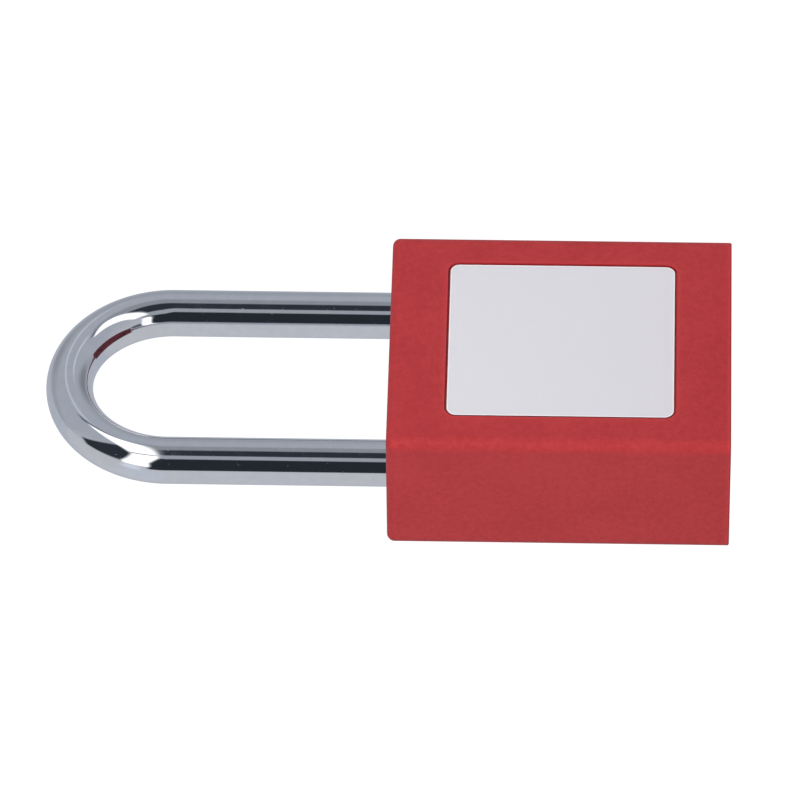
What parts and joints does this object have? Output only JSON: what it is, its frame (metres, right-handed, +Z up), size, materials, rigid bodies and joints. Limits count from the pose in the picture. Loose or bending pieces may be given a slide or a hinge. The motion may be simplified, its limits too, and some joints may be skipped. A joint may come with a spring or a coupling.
{
  "type": "safety padlock",
  "caption": "Lockout padlock with a moulded plastic body, a round steel shackle, a label recess on each face and a keyway in its base.",
  "frame": {"origin": "centre of the body's bottom face", "axes": "+Z up along the shackle, -Y out of the front label face, +X towards the heel leg of the shackle"},
  "size_m": [0.037, 0.019, 0.0875],
  "materials": {
    "red_nylon": "moulded red nylon with a fine matte texture",
    "chromed_steel": "bright chrome plate on steel bar",
    "label_film": "blank pale satin label film",
    "die_cast_zinc": null,
    "brass": "turned brass",
    "plated_steel": "zinc plated steel",
    "spring_steel": "bright spring wire"
  },
  "bodies": {
    "padlock_body": {"body_shell": "red_nylon", "bottom_cover": "red_nylon", "front_label": "label_film", "rear_label": "label_film", "lock_housing": "die_cast_zinc", "chamber_cover": "brass", "housing_screw": "plated_steel", "driver_pins": "brass", "pin_springs": "spring_steel", "case_base": "die_cast_zinc", "case_cover": "die_cast_zinc", "case_screws": "plated_steel", "heel_pin": "plated_steel", "shackle_spring": "spring_steel"},
    "plug_and_cam": {"plug": "brass", "plug_clip": "plated_steel", "key_pins": "brass", "cam": "plated_steel"},
    "latch_bar": {"latch": "plated_steel"},
    "heel_button": {"spring_cap": "plated_steel"},
    "shackle_bar": {"shackle": "chromed_steel"}
  },
  "joints": [
    {"name": "shackle_lift", "type": "slide", "parent": "padlock_body", "child": "heel_button", "axis": [0, 0, 1], "range_m": [0, 0.0115], "stiffness_N_per_m": 970, "springref_m": 0.0128, "deforming": ["shackle_spring"]},
    {"name": "shackle_swing", "type": "hinge", "parent": "heel_button", "child": "shackle_bar", "pos_m": [0.013, 0, 0.0435], "axis": [0, 0, 1], "continuous": true},
    {"name": "plug_turn", "type": "hinge", "parent": "padlock_body", "child": "plug_and_cam", "pos_m": [0, 0, 0.016], "axis": [0, 0, 1], "range_deg": [-90, 0]},
    {"name": "latch_slide", "type": "slide", "parent": "padlock_body", "child": "latch_bar", "axis": [-1, 0, 0], "range_m": [0, 0.00241]}
  ],
  "couplings": [
    {"joint": "latch_slide", "follows": "plug_turn", "m_per_rad": -0.0015279}
  ]
}
